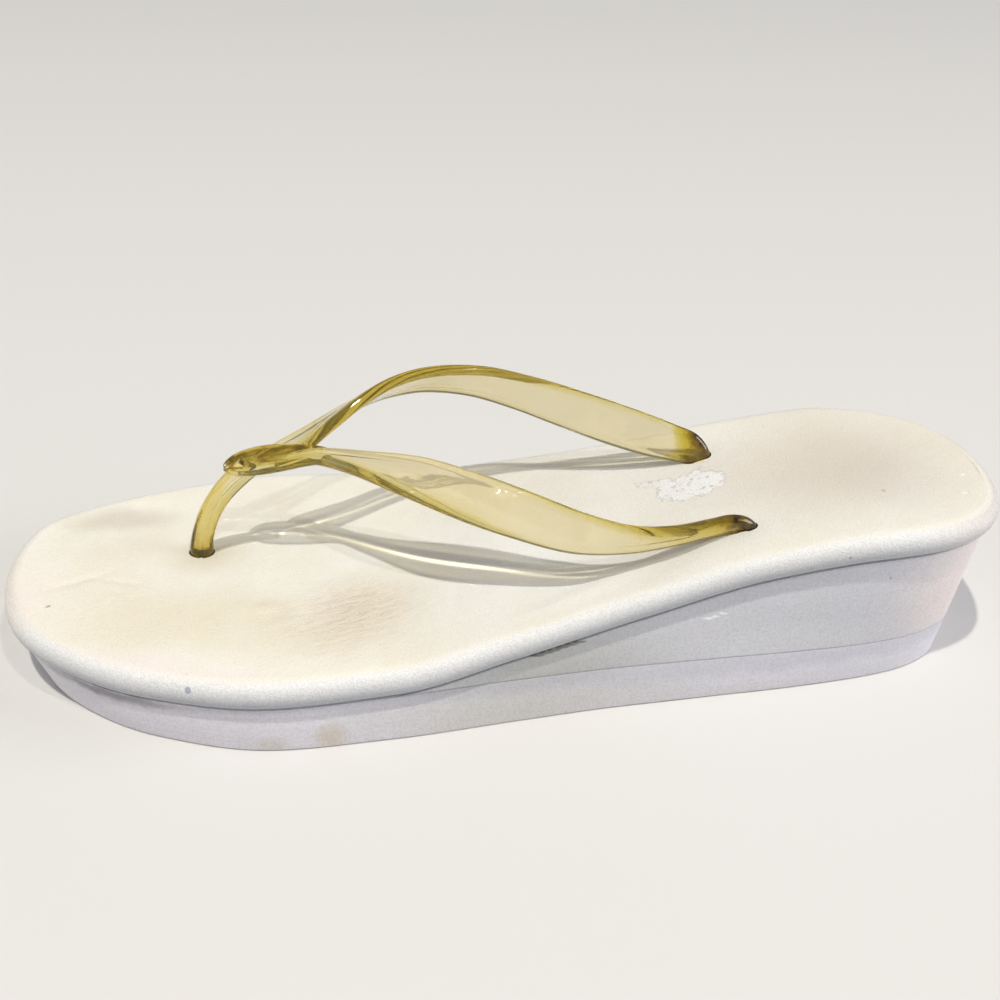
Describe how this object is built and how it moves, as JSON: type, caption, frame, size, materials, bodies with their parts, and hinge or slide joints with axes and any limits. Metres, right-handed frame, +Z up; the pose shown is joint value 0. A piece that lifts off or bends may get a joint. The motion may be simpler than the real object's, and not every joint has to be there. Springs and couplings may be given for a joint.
{
  "type": "platform flip-flop",
  "caption": "Left platform flip-flop: flat platform sole, heel wedge, padded footbed with a bullnosed rim, and a clear thong strap moulded in one piece with a leaf-shaped knot.",
  "frame": {"origin": "centre of the bounding box at its base: the middle of the shoe's length and width, on the floor it stands on", "axes": "+X from toe to heel along the shoe, +Y from the outer to the inner side of the left foot, +Z up"},
  "size_m": [0.25, 0.0903, 0.0651],
  "materials": {
    "footbed": "white synthetic leather over a padded board, satin, foot-stained",
    "heel_wedge": "white foam with a fine matt skin",
    "platform_sole": "white foam with a fine matt skin",
    "thong_strap": "clear soft plastic, glossy, yellowed"
  },
  "bodies": {
    "root": {"footbed": "footbed", "heel_wedge": "heel_wedge", "platform_sole": "platform_sole", "thong_strap": "thong_strap"}
  },
  "joints": []
}
